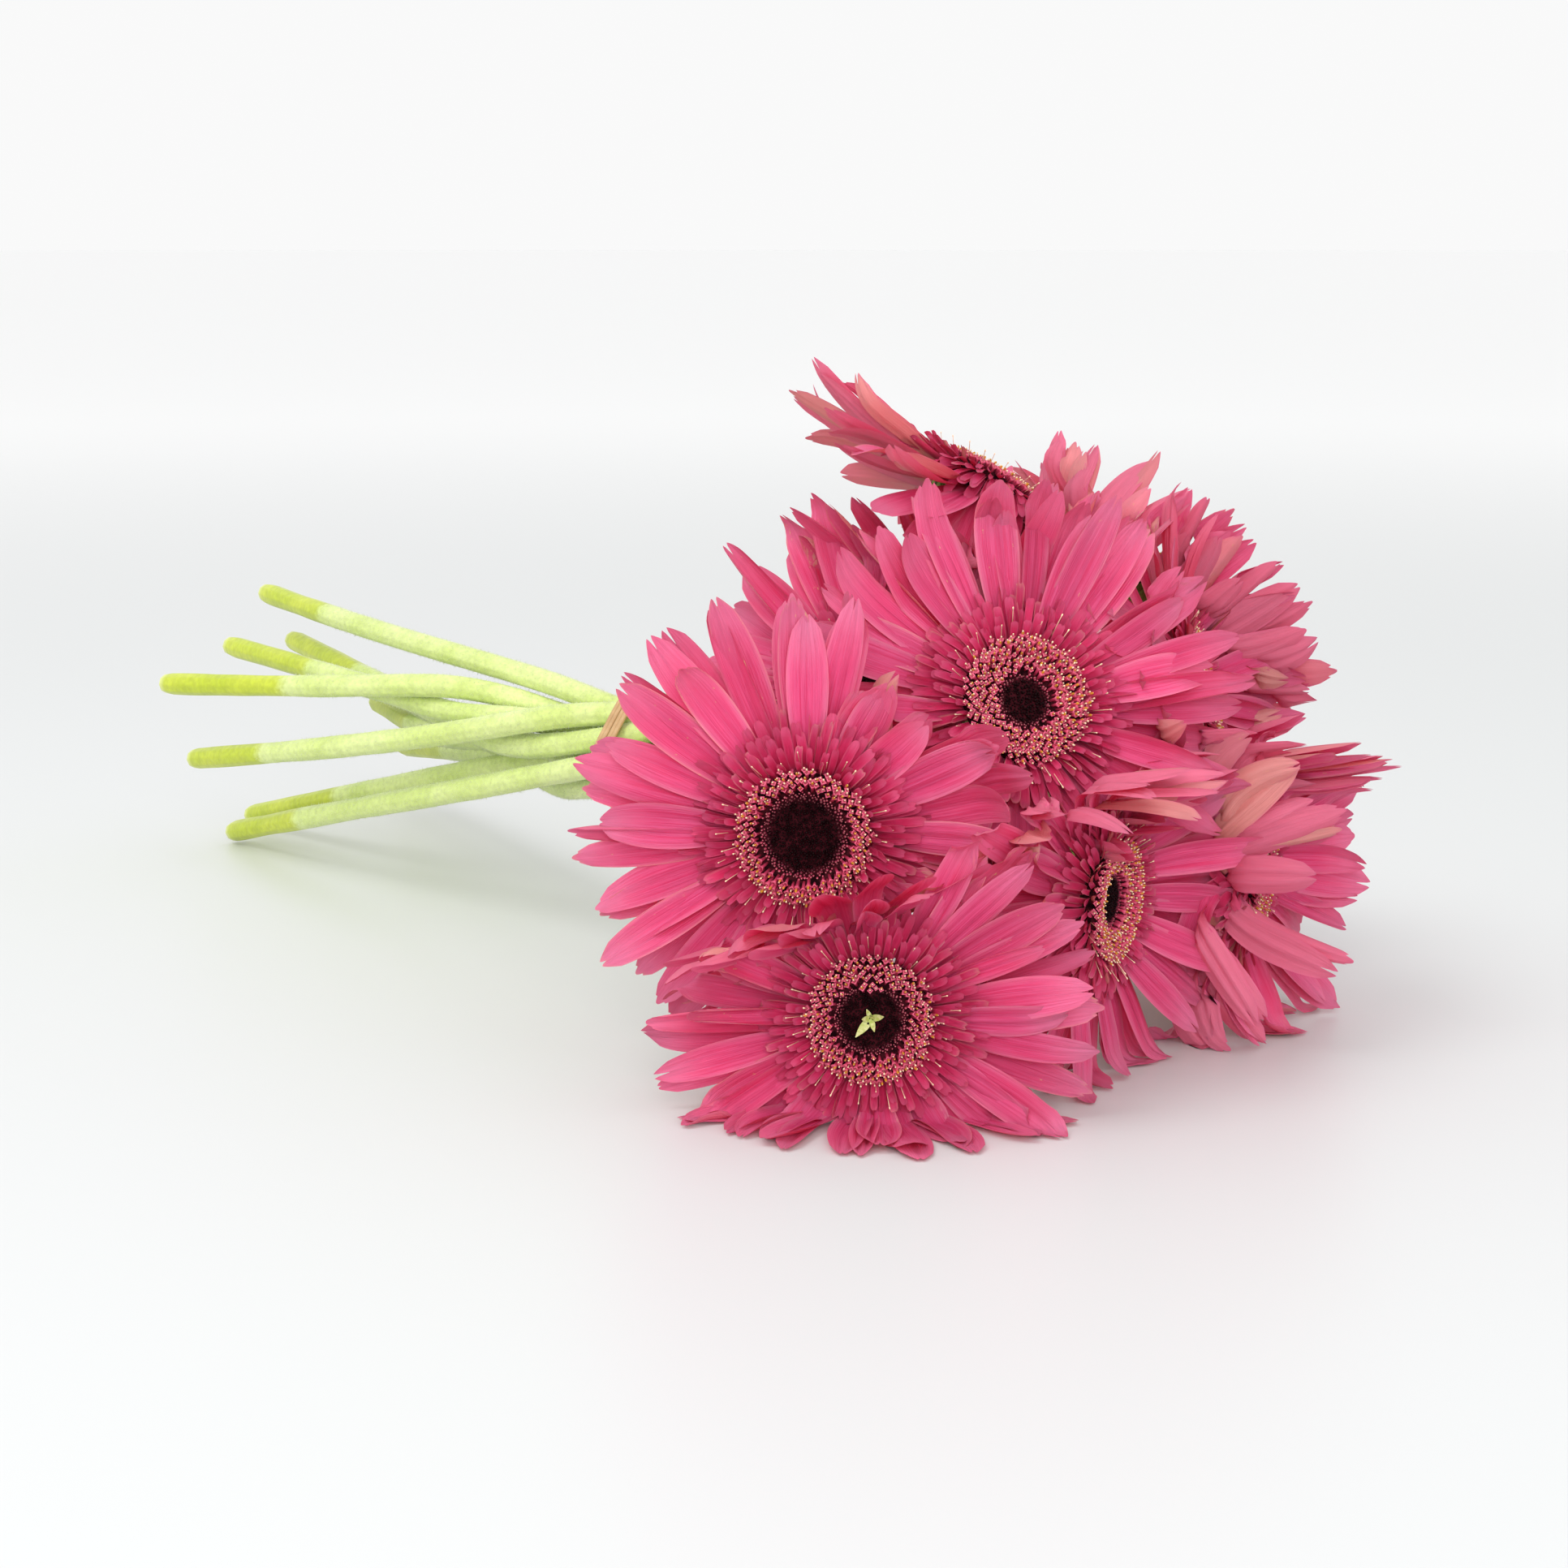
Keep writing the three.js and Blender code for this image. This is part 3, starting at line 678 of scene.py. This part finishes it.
# %% Build and run Geometry Nodes trees
class Rule(Nodes):
    def __init__(self, name, **sizes):
        super().__init__(bpy.data.node_groups.new(name, "GeometryNodeTree"))
        face = self.tree.interface
        face.new_socket("Geometry", in_out="INPUT", socket_type="NodeSocketGeometry")
        face.new_socket("Geometry", in_out="OUTPUT", socket_type="NodeSocketGeometry")
        for label, value in sizes.items():
            kind = "NodeSocketInt" if isinstance(value, int) else "NodeSocketFloat"
            socket = face.new_socket(label.replace("_", " "), in_out="INPUT", socket_type=kind)
            socket.default_value = value
        self.inlet = self.tree.nodes.new("NodeGroupInput").outputs
        self.outlet = self.tree.nodes.new("NodeGroupOutput").inputs[0]

    def between(self, low, high, seed):
        """A random number for each point, or a random vector where low is one."""
        first = 0 if isinstance(low, tuple) else 2
        kind = "FLOAT" if first else "FLOAT_VECTOR"
        inputs = {first: low, first + 1: high, "Seed": seed}
        return self.add("FunctionNodeRandomValue", inputs, data_type=kind).outputs[first // 2]

    def index(self):
        return self.add("GeometryNodeInputIndex").outputs[0]

    def shape(self, template):
        return self.add("GeometryNodeObjectInfo", {"Object": template}).outputs["Geometry"]

    def join(self, *parts):
        node = self.add("GeometryNodeJoinGeometry")
        for part in parts:
            self.tree.links.new(part, node.inputs[0])
        return node.outputs[0]

    def store(self, geometry, name, value, domain="POINT"):
        inputs = {0: geometry, "Name": name, "Value": value}
        settings = {"data_type": "FLOAT", "domain": domain}
        return self.add("GeometryNodeStoreNamedAttribute", inputs, **settings).outputs[0]

    def named(self, name):
        return self.add("GeometryNodeInputNamedAttribute", {"Name": name}, data_type="FLOAT").outputs[0]

    def turn(self, lean, spin):
        """Leans a shape's Z axis outwards, then spins it round the Z axis."""
        tip = self.add("FunctionNodeAxisAngleToRotation", {0: (0, 1, 0), 1: lean}).outputs[0]
        spin = self.add("FunctionNodeAxisAngleToRotation", {0: (0, 0, 1), 1: spin}).outputs[0]
        return self.add("FunctionNodeRotateRotation", {0: tip, 1: spin}).outputs[0]

    def scatter(self, points, shape, rotation, scale):
        inputs = {0: points, "Instance": shape, "Rotation": rotation, "Scale": scale}
        return self.add("GeometryNodeInstanceOnPoints", inputs).outputs[0]

    def finish(self, geometry, material):
        real = self.add("GeometryNodeRealizeInstances", {0: geometry}).outputs[0]
        smooth = self.add("GeometryNodeSetShadeSmooth", {0: real}).outputs[0]
        last = self.add("GeometryNodeSetMaterial", {0: smooth, "Material": material}).outputs[0]
        self.put(self.outlet, last)

    def run(self, name, base, **sizes):
        """Runs the tree on a mesh or curve, and returns a plain mesh that faces outwards."""
        host = bpy.data.objects.new(name, base)
        bpy.context.scene.collection.objects.link(host)
        modifier = host.modifiers.new(self.tree.name, "NODES")
        modifier.node_group = self.tree
        for item in self.tree.interface.items_tree:
            label = item.name.replace(" ", "_")
            if item.in_out == "INPUT" and label in sizes:
                modifier[item.identifier] = sizes[label]
        graph = bpy.context.evaluated_depsgraph_get()
        mesh = bpy.data.meshes.new_from_object(host.evaluated_get(graph), depsgraph=graph)
        bpy.data.objects.remove(host)
        mesh.name = name
        shell = bmesh.new()
        shell.from_mesh(mesh)
        if shell.calc_volume(signed=True) < 0:
            bmesh.ops.reverse_faces(shell, faces=shell.faces)
            shell.to_mesh(mesh)
        shell.free()
        return mesh


def turned_shape(name, sides, parts, flute=0.0):
    """An object made of closed shapes round the Z axis. Each part is a list of (radius, height,
    colour) in mm, which starts and ends at radius 0. Its widest rings go in and out by turns."""
    points, faces, tints = [], [], []
    for profile in parts:
        rings = []
        for radius, height, colour in profile:
            ring = []
            for j in range(sides if radius else 1):
                a = 2 * math.pi * j / sides
                r = radius * (1 + flute * (-1) ** j) if radius > 0.45 else radius
                ring.append(len(points))
                points.append((r * math.cos(a) * MM, r * math.sin(a) * MM, height * MM))
                tints.append((*colour, 1))
            rings.append(ring)
        for low, high in zip(rings, rings[1:]):
            for j in range(sides):
                i = (j + 1) % sides
                corners = [low[j % len(low)], low[i % len(low)], high[i % len(high)], high[j % len(high)]]
                faces.append(tuple(dict.fromkeys(corners)))
    mesh = bpy.data.meshes.new(name)
    mesh.from_pydata(points, [], faces)
    tint = mesh.color_attributes.new("tint", "FLOAT_COLOR", "POINT")
    tint.data.foreach_set("color", np.array(tints, np.float32).ravel())
    return bpy.data.objects.new(name, mesh)


# %% [markdown]
# ## The disc
# The middle of a head is packed with tiny florets, each a golden angle of 137.5 degrees on from
# the last, which fills a circle evenly. Those near the rim have opened: small rose trumpets with
# four lobes, a pale knob on a stalk, and an orange tube of pollen. The ones in the eye are still
# closed, dark beads, darkest in the middle. Longer pale pins stand among the short petals.
# Four shapes of a few dozen faces each are scattered by one tree, which lays them on the dished
# bed of the disc solid.

# %% The shapes of the tiny florets
ROSE, LIP, DEEP = (0.60, 0.055, 0.13), (0.72, 0.13, 0.22), (0.16, 0.01, 0.02)
CREAM, POLLEN, STALK = (0.95, 0.74, 0.50), (0.55, 0.24, 0.02), (0.72, 0.33, 0.25)
open_floret = turned_shape("open floret", 8, [
    [(0, -0.8, DEEP), (0.36, -0.6, DEEP), (0.40, 1.3, ROSE), (0.74, 2.0, LIP), (0.5, 2.1, LIP),
     (0, 1.5, DEEP)],
    [(0, 1.2, STALK), (0.09, 1.4, STALK), (0.09, 2.5, STALK), (0.22, 2.7, CREAM), (0.2, 2.95, CREAM),
     (0, 3.1, CREAM)],
], flute=0.22)
pollen_floret = turned_shape("pollen floret", 6, [
    [(0, -0.8, DEEP), (0.3, -0.6, DEEP), (0.32, 1.5, ROSE), (0.3, 2.3, POLLEN), (0.16, 2.6, POLLEN),
     (0, 2.7, CREAM)],
])
dark_bead = turned_shape("dark bead", 6, [
    [(0, -0.5, DEEP), (0.3, 0.05, ROSE), (0.31, 0.35, ROSE), (0.15, 0.58, LIP), (0, 0.62, CREAM)],
])
pale_pin = turned_shape("pale pin", 5, [
    [(0, 0, STALK), (0.1, 0.2, STALK), (0.09, 4.6, CREAM), (0.2, 4.9, CREAM), (0.18, 5.2, CREAM),
     (0, 5.35, CREAM)],
])
tiny_shapes = [open_floret, pollen_floret, dark_bead, pale_pin]
print("four tiny shapes,", [len(o.data.polygons) for o in tiny_shapes], "faces")

# %% The finish of the tiny florets and of the bed under them
n = Finish("tiny florets", 0.55, Specular_IOR_Level=0.07)
grain = n.ramp(n.noise(n.place(), 700.0), 0.3, 0.7, 0.8, 1.15)
n.colour(n.dim(n.dim(n.attribute("tint", "Color"), n.attribute("lit")), grain))
n.bump(n.noise(n.place(), 2500.0), 0.0001, 0.6)
tiny_florets = n.material

n = Finish("disc bed", 0.9, Specular_IOR_Level=0.05)
n.colour(n.mix(n.ramp(n.noise(n.place(), 600.0), 0.35, 0.65), (0.008, 0.001, 0.002), (0.05, 0.006, 0.010)))
n.bump(n.noise(n.place(), 1500.0), 0.0004)
for number in NUMBERS:
    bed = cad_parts["disc_" + number].data
    bed.materials.clear()
    bed.materials.append(n.material)
print("disc beds and florets have their finishes")

# %% The tree that packs a disc
GOLDEN_ANGLE = math.pi * (3 - math.sqrt(5))
RIM = 14.6 * MM


def disc_rule():
    n = Rule("disc of florets", Eye=0.01, Open_Florets=250, Beads=600, Pins=50, Notch=0.0, Seed=1)
    _, eye, florets, beads, pins, notch, seed = n.inlet[:7]
    turn = n.times(n.index(), GOLDEN_ANGLE)
    upward = n.math("SINE", turn)
    dip = n.times(notch, n.math("POWER", n.math("MAXIMUM", upward, 0.0), 14.0))
    edge = n.times(eye, n.math("SUBTRACT", 1.0, dip))

    def laid(count, low, high, lift, shape, lean, small, large, shade):
        """Shapes from radius low to high, which lean outwards by lean at the rim."""
        share = n.math("DIVIDE", n.math("ADD", n.index(), 0.5), count)
        low_area, high_area = n.math("POWER", low, 2.0), n.math("POWER", high, 2.0)
        span = n.times(share, n.math("SUBTRACT", high_area, low_area))
        radius = n.math("SQRT", n.math("ADD", low_area, span))
        crown = n.ramp(radius, 9.6 * MM, 12.4 * MM, 0.0, 1.8 * MM)
        brim = n.ramp(radius, 12.6 * MM, 14.8 * MM, lift, lift - 0.9 * MM)
        x = n.times(radius, n.math("COSINE", turn))
        spot = n.vector(x, n.times(radius, upward), n.math("ADD", crown, brim))
        spot = n.sum(spot, n.between((-0.2 * MM,) * 3, (0.2 * MM,) * 3, seed))
        dots = n.add("GeometryNodePoints", {"Count": count, "Position": spot}).outputs[0]
        tilt = n.times(n.math("DIVIDE", radius, RIM), lean)
        way = n.turn(n.math("ADD", tilt, n.between(-0.25, 0.25, seed)), turn)
        placed = n.scatter(dots, n.shape(shape), way, n.between(small, large, seed))
        reach = n.add("GeometryNodeInputPosition").outputs[0]
        reach = n.add("ShaderNodeVectorMath", {0: reach}, operation="LENGTH").outputs["Value"]
        return n.store(placed, "lit", shade(reach), "INSTANCE")

    def plain(reach):
        return 1.0

    def brighter_outwards(reach):
        return n.ramp(n.math("DIVIDE", reach, eye), 0.72, 1.08, 0.012, 0.9)

    pollen = n.times(florets, 0.45)
    parts = [
        laid(florets, edge, RIM, 0.0, open_floret, 0.75, 0.78, 1.08, plain),
        laid(pollen, edge, RIM, 0.2 * MM, pollen_floret, 0.5, 0.8, 1.1, plain),
        laid(beads, 0.3 * MM, edge, 0.0, dark_bead, 0.2, 0.6, 1.15, brighter_outwards),
        laid(pins, 15.0 * MM, 18.0 * MM, 0.3 * MM, pale_pin, 0.7, 0.7, 1.1, plain),
    ]
    n.finish(n.join(*parts), tiny_florets)
    return n


disc_of_florets = disc_rule()


# %% Pack the ten discs
def head_matrix(head):
    level, steep = square_to(head["face"])
    turn = np.stack([level, steep, head["face"]], 1) * head["size"]
    return Matrix.Translation(Vector(head["centre"])) @ Matrix(turn.tolist()).to_4x4()


EYE_NOTCH = {1: 0.42}  # the second head's eye is heart shaped
FLORET_SPACING = 1.28 * MM
BEAD_SPACING = 0.72 * MM
empty = bpy.data.meshes.new("empty")
disc_faces = 0
for i, (number, head, eye) in enumerate(zip(NUMBERS, heads, EYES)):
    eye *= MM
    mesh = disc_of_florets.run(
        "disc_florets_" + number, empty, Eye=eye, Notch=EYE_NOTCH.get(i, 0.0), Seed=i, Pins=26,
        Open_Florets=round(math.pi * (RIM**2 - eye**2) / FLORET_SPACING**2),
        Beads=round(math.pi * eye**2 / BEAD_SPACING**2),
    )
    mesh.transform(head_matrix(head))
    add_piece(mesh, None, "disc")
    disc_faces += len(mesh.polygons)
print("ten discs packed,", disc_faces, "faces")

# %% [markdown]
# ## The stems
# A gerbera stem is round, faintly ribbed, and felted with short white hairs, so that it looks
# pale and soft. The lowest few centimetres have stood in water: there the felt is gone and the
# stem is a bright yellow-green. One tree sweeps a ribbed ring along the solid's centre line and
# keeps each point's distance from the cut end for the finish. A second tree plants the hairs.

# %% The finishes of the stem and its felt
n = Finish("green stem", 0.5, Sheen_Weight=0.25, Sheen_Roughness=0.4)
from_cut = n.attribute("from_cut")
fibre = n.noise(n.place(), 500.0, 4.0)
ragged = n.math("ADD", from_cut, n.times(fibre, 6 * MM))
past_bare = n.math("SUBTRACT", ragged, n.attribute("bare"))
felted = n.ramp(past_bare, 0.0, 6 * MM)
young = n.mix(n.ramp(n.noise(n.place(), 60.0), 0.35, 0.65), (0.46, 0.555, 0.017), (0.54, 0.615, 0.035))
old = n.mix(n.ramp(n.noise(n.place(), 45.0), 0.35, 0.65), (0.58, 0.70, 0.20), (0.68, 0.78, 0.30))
skin = n.dim(n.mix(felted, young, old), n.ramp(fibre, 0.3, 0.7, 0.9, 1.08))
n.colour(n.mix(n.ramp(from_cut, 0.0, 3 * MM, 0.7, 0.0), skin, (0.75, 0.78, 0.35)))
n.bump(fibre, 0.3 * MM, 0.7)
green_stem = n.material

n = Finish("white felt", 0.7)
n.colour((0.86, 0.90, 0.72, 1))
n.glow((0.9, 0.95, 0.75), 0.4)
white_felt = n.material

# %% The tree that sweeps a ring along a path
STEM_RADIUS = 3.4 * MM


def stem_rule():
    n = Rule("swept stem", Radius=STEM_RADIUS, Ribs=9, Bare=0.045, Seed=1)
    curve, radius, ribs, bare, seed = n.inlet[:5]
    length = n.add("GeometryNodeSplineParameter").outputs["Length"]
    curve = n.store(n.store(curve, "from_cut", length), "bare", bare)
    uneven = n.noise(n.vector(n.times(length, 30.0), seed), 1.0, 1.0)
    swell = n.ramp(uneven, 0.2, 0.8, 0.93, 1.06)
    foot = n.ramp(length, 0.0, 1.5 * MM, 0.88, 1.0)
    thick = n.times(n.times(swell, foot), radius)
    inputs = {"Points": ribs, "Inner Radius": 0.955, "Outer Radius": 1.0}
    ring = n.add("GeometryNodeCurveStar", inputs).outputs[0]
    ring = n.add("GeometryNodeSubdivideCurve", {0: ring, 1: 1}).outputs[0]
    tube = {"Curve": curve, "Profile Curve": ring, "Scale": thick, "Fill Caps": True}
    n.finish(n.add("GeometryNodeCurveToMesh", tube).outputs[0], green_stem)
    return n


def poly_curve(name, points, closed=False):
    """Curve data with one spline through the given points."""
    curve = bpy.data.curves.new(name, "CURVE")
    curve.dimensions = "3D"
    spline = curve.splines.new("POLY")
    spline.points.add(len(points) - 1)
    spline.points.foreach_set("co", np.c_[points, np.ones(len(points))].astype(np.float32).ravel())
    spline.use_cyclic_u = closed
    return curve


def smoothed(points, each):
    """Points on a smooth path through the given ones, each of them kept."""
    padded = np.concatenate([[2 * points[0] - points[1]], points, [2 * points[-1] - points[-2]]])
    t = np.arange(each)[:, None] / each
    out = []
    for a, b, c, d in zip(padded, padded[1:], padded[2:], padded[3:]):
        cubic = (3 * b - a - 3 * c + d) * t**3 + (2 * a - 5 * b + 4 * c - d) * t**2
        out.append(0.5 * (cubic + (c - a) * t + 2 * b))
    return np.concatenate(out + [points[-1:]])


stem_tree = stem_rule()
stem_skins = []
for i, (number, line, head) in enumerate(zip(NUMBERS, stem_lines, heads)):
    rng = np.random.default_rng(300 + i)
    path = smoothed(np.concatenate([line, [line[-1] + 1.2 * MM * head["face"]]]), 3)
    bare = rng.uniform(42, 66) * MM
    mesh = stem_tree.run("stem_skin_" + number, poly_curve("stem path", path), Seed=i, Bare=bare)
    add_piece(mesh, None, "stem", "stem_" + number)
    stem_skins.append(mesh)
print("ten stems,", sum(len(m.polygons) for m in stem_skins), "faces")

# %% The tree that plants the felt
hair = turned_shape("hair", 3, [[(0, -0.1, CREAM), (0.055, 0.02, CREAM), (0, 1.0, CREAM)]])


def felt_rule():
    n = Rule("felt of hairs", Per_Square_Metre=900000.0, Length=0.75, Seed=1)
    skin, density, length, seed = n.inlet[:4]
    here = n.ramp(n.math("SUBTRACT", n.named("from_cut"), n.named("bare")), 0.0, 8 * MM)
    spread = {"Mesh": skin, "Density": n.times(density, here), "Seed": seed}
    dots = n.add("GeometryNodeDistributePointsOnFaces", spread)
    way = n.sum(dots.outputs["Normal"], n.between((-0.6,) * 3, (0.6,) * 3, seed))
    way = n.add("FunctionNodeAlignRotationToVector", {"Vector": way}, axis="Z").outputs[0]
    tall = n.times(length, n.between(0.5, 1.3, seed))
    n.finish(n.scatter(dots.outputs["Points"], n.shape(hair), way, n.vector(1.0, 1.0, tall)), white_felt)
    return n


felt_tree = felt_rule()
hair_faces = 0
for i, (number, skin) in enumerate(zip(NUMBERS, stem_skins)):
    mesh = felt_tree.run("stem_felt_" + number, skin, Seed=i)
    add_piece(mesh, None, "stem")
    hair_faces += len(mesh.polygons)
print("hairs planted,", hair_faces, "faces")

# %% [markdown]
# ## The calyx
# Behind each head sits a green cup, and narrow pointed bracts cover it in rows like roof tiles.
# The cup is the solid's own shape and keeps it. The bracts are one small leaf, laid round the
# cup in four rows by a tree, each row a little higher and wider than the one below.

# %% The bracts on the cups
n = Finish("green calyx", 0.55, Sheen_Weight=0.15)
patch = n.ramp(n.noise(n.place(), 250.0), 0.35, 0.7)
n.colour(n.mix(patch, (0.16, 0.27, 0.035), (0.33, 0.45, 0.10)))
n.bump(n.noise(n.place(), 1200.0), 0.2 * MM, 0.6)
green_calyx = n.material
for number in NUMBERS:
    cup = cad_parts["calyx_" + number].data
    cup.materials.clear()
    cup.materials.append(green_calyx)

BRACT_ROWS = [  # bracts, radius, height, lean outwards in degrees, length in mm
    (11, 4.6, -18.2, 58, 7.5),
    (13, 7.6, -15.9, 50, 8.5),
    (15, 10.1, -13.4, 24, 8.0),
    (17, 12.0, -9.9, 8, 5.6),
]


def bract_shape():
    """A pointed leaf that stands along Z, 1 mm long, and looks outwards along X."""
    steps = np.linspace(0, 1, 7)
    places = np.stack([0.09 * np.sin(np.pi * steps), 0 * steps, steps], 1) * MM
    aheads = unit(np.gradient(places, axis=0))
    acrosses = np.tile([0.0, -1.0, 0.0], (7, 1))
    v = np.array([-1.0, 0.0, 1.0])
    form = {"v": v, "outline": lambda s: np.sin(np.pi * (0.28 + 0.7 * s)), "ends": np.ones((1, 3))}
    form.update(arch=np.array([-0.5]), sink=np.zeros((1, 3)))
    lines = [a[None] for a in (places + [0, 0, 1], aheads, acrosses)]
    mesh = strap_mesh("bract", lines, np.array([0.36 * MM]), form, 0.09 * MM, 6, np.ones((1, 2)))
    mesh.transform(Matrix.Translation((0, 0, -1)))
    return bpy.data.objects.new("bract", mesh)


def bract_rule():
    n = Rule("rows of bracts", Seed=1)
    seed = n.inlet[1]
    bract = bract_shape()
    rows = []
    for k, (count, radius, height, lean, length) in enumerate(BRACT_ROWS):
        turn = n.times(n.math("ADD", n.index(), 0.5 * (k % 2)), 2 * math.pi / count)
        turn = n.math("ADD", turn, n.between(-0.07, 0.07, seed))
        x = n.times(n.math("COSINE", turn), radius * MM)
        y = n.times(n.math("SINE", turn), radius * MM)
        dots = n.add("GeometryNodePoints", {"Count": count, "Position": n.vector(x, y, height * MM)})
        way = n.turn(n.math("ADD", n.between(-0.06, 0.1, seed), math.radians(lean)), turn)
        tall = n.times(n.between(0.9, 1.12, seed), length)
        rows.append(n.scatter(dots.outputs[0], n.shape(bract), way, tall))
    n.finish(n.join(*rows), green_calyx)
    return n


bract_tree = bract_rule()
bract_faces = 0
for i, (number, head) in enumerate(zip(NUMBERS, heads)):
    mesh = bract_tree.run("calyx_bracts_" + number, empty, Seed=i)
    mesh.transform(head_matrix(head))
    add_piece(mesh, None, "calyx")
    bract_faces += len(mesh.polygons)
print("bracts laid,", bract_faces, "faces")

# %% [markdown]
# ## The sprout in one eye
# Now and then a gerbera starts a second bud in the middle of its disc. The second head has one,
# a star of small green scales. Six copies of the bract are turned about the head's axis, each
# with a lean and a length of its own.

# %% Set the sprout
SPROUT_HEAD = 1
SCALES = [  # degrees round, lean in degrees, length in mm
    (20, 44, 5.0), (110, 58, 3.4), (165, 30, 4.4), (228, 60, 6.2), (290, 46, 4.0), (60, 18, 3.8),
]
sprout_mesh = bpy.data.meshes.new("eye_sprout")
gathered = bmesh.new()
bract = bract_shape()
for around, lean, length in SCALES:
    leaf = bract.data.copy()
    leaf.transform(Matrix.Scale(length, 4))
    leaf.transform(Matrix.Rotation(math.radians(lean), 4, "Y"))
    leaf.transform(Matrix.Rotation(math.radians(around), 4, "Z"))
    gathered.from_mesh(leaf)
    bpy.data.meshes.remove(leaf)
gathered.to_mesh(sprout_mesh)
gathered.free()
sprout_mesh.shade_smooth()
sprout_mesh.transform(head_matrix(heads[SPROUT_HEAD]))

n = Finish("young green sprout", 0.5)
n.colour(n.mix(n.ramp(n.noise(n.place(), 900.0), 0.35, 0.65), (0.45, 0.52, 0.12), (0.72, 0.72, 0.34)))
n.bump(n.noise(n.place(), 1500.0), 0.1 * MM, 0.5)
add_piece(sprout_mesh, n.material, "calyx")
print("sprout of", len(SCALES), "scales")

# %% [markdown]
# ## The rubber band
# One thin rubber band goes round the stems several times. Its solid is a single plain ring. We
# take that ring's outer corners, draw a smooth closed path just inside them, and let a tree lay
# a few turns of flat band side by side along the bunch.

# %% Wind the rubber band
BAND_TURNS = 4
BAND_STEP = 1.75 * MM
n = Finish("tan rubber", 0.45)
n.colour(n.mix(n.ramp(n.noise(n.place(), 180.0), 0.35, 0.7), (0.50, 0.30, 0.13), (0.62, 0.40, 0.19)))
n.bump(n.noise(n.place(), 900.0), 0.1 * MM, 0.5)
tan_rubber = n.material


def band_rule():
    n = Rule("wound band", Width=1.5 * MM, Thickness=1.1 * MM)
    curve, width, thickness = n.inlet[:3]
    turns = []
    for k in range(BAND_TURNS):
        shift = ((k - 0.5 * (BAND_TURNS - 1)) * BAND_STEP, 0, 0)
        slant = (0, 0, 0.012 * (-1) ** k)
        moved = {0: curve, "Translation": shift, "Rotation": slant}
        turns.append(n.add("GeometryNodeTransform", moved).outputs[0])
    inputs = {"Width": width, "Height": thickness}
    ring = n.add("GeometryNodeCurvePrimitiveQuadrilateral", inputs).outputs[0]
    ring = n.add("GeometryNodeFilletCurve", {0: ring, "Radius": 0.35 * MM}).outputs[0]
    tube = {"Curve": n.join(*turns), "Profile Curve": ring}
    n.finish(n.add("GeometryNodeCurveToMesh", tube).outputs[0], tan_rubber)
    return n


band_corners = np.array([v.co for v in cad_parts["rubber_band"].data.vertices])
flat_corners = np.unique(np.round(band_corners[:, 1:], 6), axis=0)
rim = flat_corners[geometry.convex_hull_2d([Vector(c) for c in flat_corners])]
middle = rim.mean(0)
rim = middle + (rim - middle) * (1 - 0.65 * MM / np.linalg.norm(rim - middle, axis=1, keepdims=True))
looped = smoothed(np.concatenate([rim[-2:], rim, rim[:2]]), 4)[8:-9]
looped = np.c_[np.zeros(len(looped)), looped - middle]
mesh = band_rule().run("wound_band", poly_curve("band path", looped, closed=True))
mesh.transform(Matrix.Translation(Vector((tie[0], *middle))))
add_piece(mesh, None, "band", "rubber_band")
print("rubber band of", BAND_TURNS, "turns,", len(mesh.polygons), "faces")
